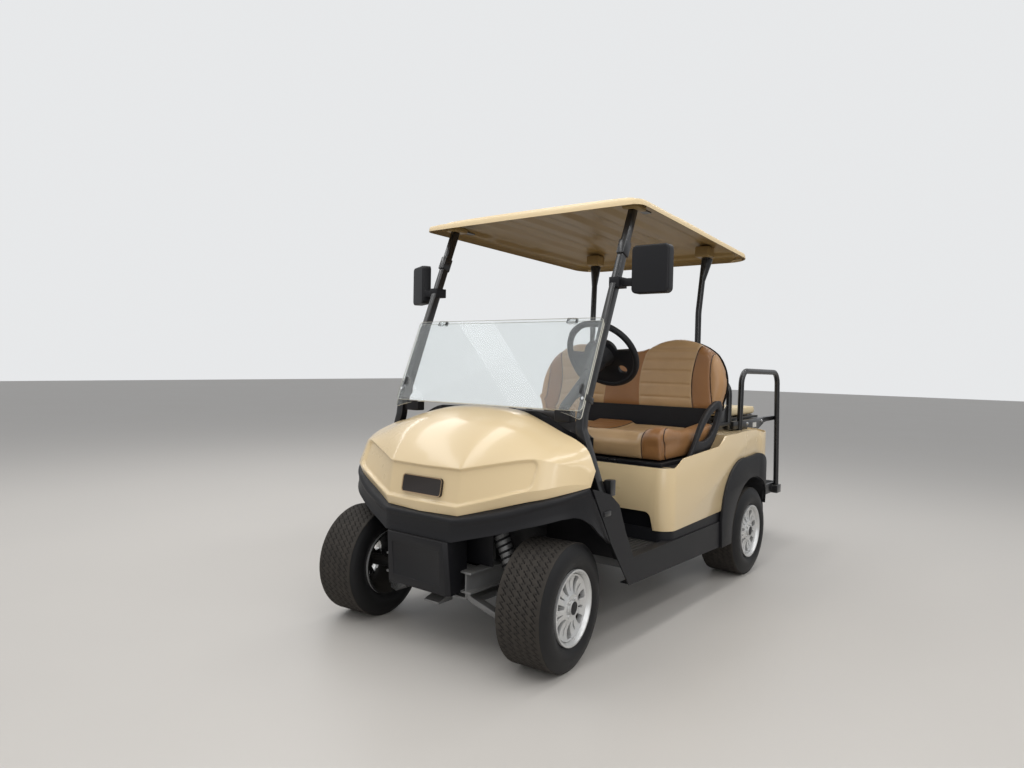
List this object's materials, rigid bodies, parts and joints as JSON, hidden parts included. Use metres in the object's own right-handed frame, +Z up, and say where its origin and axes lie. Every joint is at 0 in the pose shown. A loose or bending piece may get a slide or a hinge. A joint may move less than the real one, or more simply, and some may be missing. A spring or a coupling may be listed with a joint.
{
  "type": "electric golf cart with rear-facing flip seat",
  "caption": "Electric golf cart with moulded front cowl, canopy on four struts, folded windshield, bench over the batteries and a rear-facing seat that flips into a cargo deck.",
  "frame": {"origin": "on the ground, under the middle of the cart's overall length and width", "axes": "+Y towards the rear of the cart, +X towards its left side, +Z up"},
  "size_m": [1.438, 2.9206, 1.7975],
  "materials": {
    "body_plastic": "glossy cream moulded body colour",
    "black_trim": "dark grey-black grained plastic",
    "mat_rubber": "ribbed black rubber, dusty",
    "black_steel": "black powder coat, semi-gloss",
    "frame_aluminium": "mill aluminium, dusty",
    "cast_metal": "dark cast and forged metal",
    "battery_case": "black battery cases",
    "seat_vinyl": "two-tone tan and brown sewn vinyl",
    "cream_vinyl": "cream sewn vinyl",
    "deck_board": "black deck plate with treads",
    "clear_acrylic": "clear acrylic sheet with polished edges",
    "bright_metal": "bright small metal clips",
    "alloy": "silver painted alloy",
    "tyre_rubber": "black rubber, dusty tread"
  },
  "bodies": {
    "chassis": {"chassis_frame": "frame_aluminium", "floor_deck": "frame_aluminium", "front_suspension": "frame_aluminium", "rear_axle": "cast_metal", "leaf_springs": "cast_metal", "drive_motor": "cast_metal", "battery_pack": "battery_case", "steering_gear": "cast_metal", "steering_column": "black_trim", "front_cowl": "body_plastic", "front_fender": "black_trim", "front_bumper": "black_trim", "dash_panel": "black_trim", "footwell": "black_trim", "floor_mat": "mat_rubber", "rockers": "black_trim", "rear_body": "body_plastic", "arch_trims": "black_trim", "backrest_cushion": "seat_vinyl", "backrest_shell": "black_trim", "hip_restraints": "black_trim", "canopy": "body_plastic", "front_struts": "black_steel", "rear_struts": "black_steel", "windshield_lower": "clear_acrylic", "windshield_upper": "clear_acrylic", "windshield_blocks": "black_trim", "windshield_clips": "bright_metal", "mirrors": "black_trim", "rear_seat_frame": "black_steel", "grab_bars": "black_steel", "footplate": "black_steel", "flip_seat_hinge": "black_steel", "rear_backrest": "cream_vinyl", "pedals": "mat_rubber"},
    "left_knuckle": {"knuckle_left": "cast_metal"},
    "right_knuckle": {"knuckle_right": "cast_metal"},
    "front_left_wheel": {"tyre_front_left": "tyre_rubber", "rim_front_left": "alloy"},
    "front_right_wheel": {"tyre_front_right": "tyre_rubber", "rim_front_right": "alloy"},
    "rear_left_wheel": {"tyre_rear_left": "tyre_rubber", "rim_rear_left": "alloy"},
    "rear_right_wheel": {"tyre_rear_right": "tyre_rubber", "rim_rear_right": "alloy"},
    "rack": {"steering_rack": "cast_metal"},
    "hand_wheel": {"steering_wheel": "black_trim"},
    "bench_seat": {"seat_base": "black_trim", "seat_cushion": "seat_vinyl"},
    "flip_seat": {"flip_seat_board": "deck_board", "flip_seat_cushion": "cream_vinyl"}
  },
  "joints": [
    {"name": "left_steer", "type": "hinge", "parent": "chassis", "child": "left_knuckle", "pos_m": [0.325, -1.2117, 0.2286], "axis": [0, 0, 1], "range_deg": [-33.4, 22.6]},
    {"name": "right_steer", "type": "hinge", "parent": "chassis", "child": "right_knuckle", "pos_m": [-0.325, -1.2117, 0.2286], "axis": [0, 0, 1], "range_deg": [-34.4, 23.6]},
    {"name": "rack_slide", "type": "slide", "parent": "chassis", "child": "rack", "axis": [1, 0, 0], "range_m": [-0.04736, 0.06904]},
    {"name": "steering_turn", "type": "hinge", "parent": "chassis", "child": "hand_wheel", "pos_m": [0.25, -0.5137, 1.141], "axis": [0, 0.809, 0.5878], "range_deg": [-339, 231]},
    {"name": "front_left_spin", "type": "hinge", "parent": "left_knuckle", "child": "front_left_wheel", "pos_m": [0.46338, -1.19862, 0.2286], "axis": [0.9956, 0.0941, 0], "continuous": true},
    {"name": "front_right_spin", "type": "hinge", "parent": "right_knuckle", "child": "front_right_wheel", "pos_m": [-0.46338, -1.22478, 0.2286], "axis": [0.9956, 0.0941, 0], "continuous": true},
    {"name": "rear_left_spin", "type": "hinge", "parent": "chassis", "child": "rear_left_wheel", "pos_m": [0.504, 0.4523, 0.2286], "axis": [1, 0, 0], "continuous": true},
    {"name": "rear_right_spin", "type": "hinge", "parent": "chassis", "child": "rear_right_wheel", "pos_m": [-0.504, 0.4523, 0.2286], "axis": [1, 0, 0], "continuous": true},
    {"name": "bench_tip", "type": "hinge", "parent": "chassis", "child": "bench_seat", "pos_m": [0, -0.4877, 0.664], "axis": [1, 0, 0], "range_deg": [0, 45]},
    {"name": "flip_seat_turn", "type": "hinge", "parent": "chassis", "child": "flip_seat", "pos_m": [0, 1.1783, 0.792], "axis": [-1, 0, 0], "range_deg": [0, 180]}
  ],
  "couplings": [
    {"joint": "right_steer", "follows": "left_steer", "ratio": 1},
    {"joint": "rack_slide", "follows": "left_steer", "m_per_rad": -0.115},
    {"joint": "steering_turn", "follows": "left_steer", "ratio": 10}
  ]
}
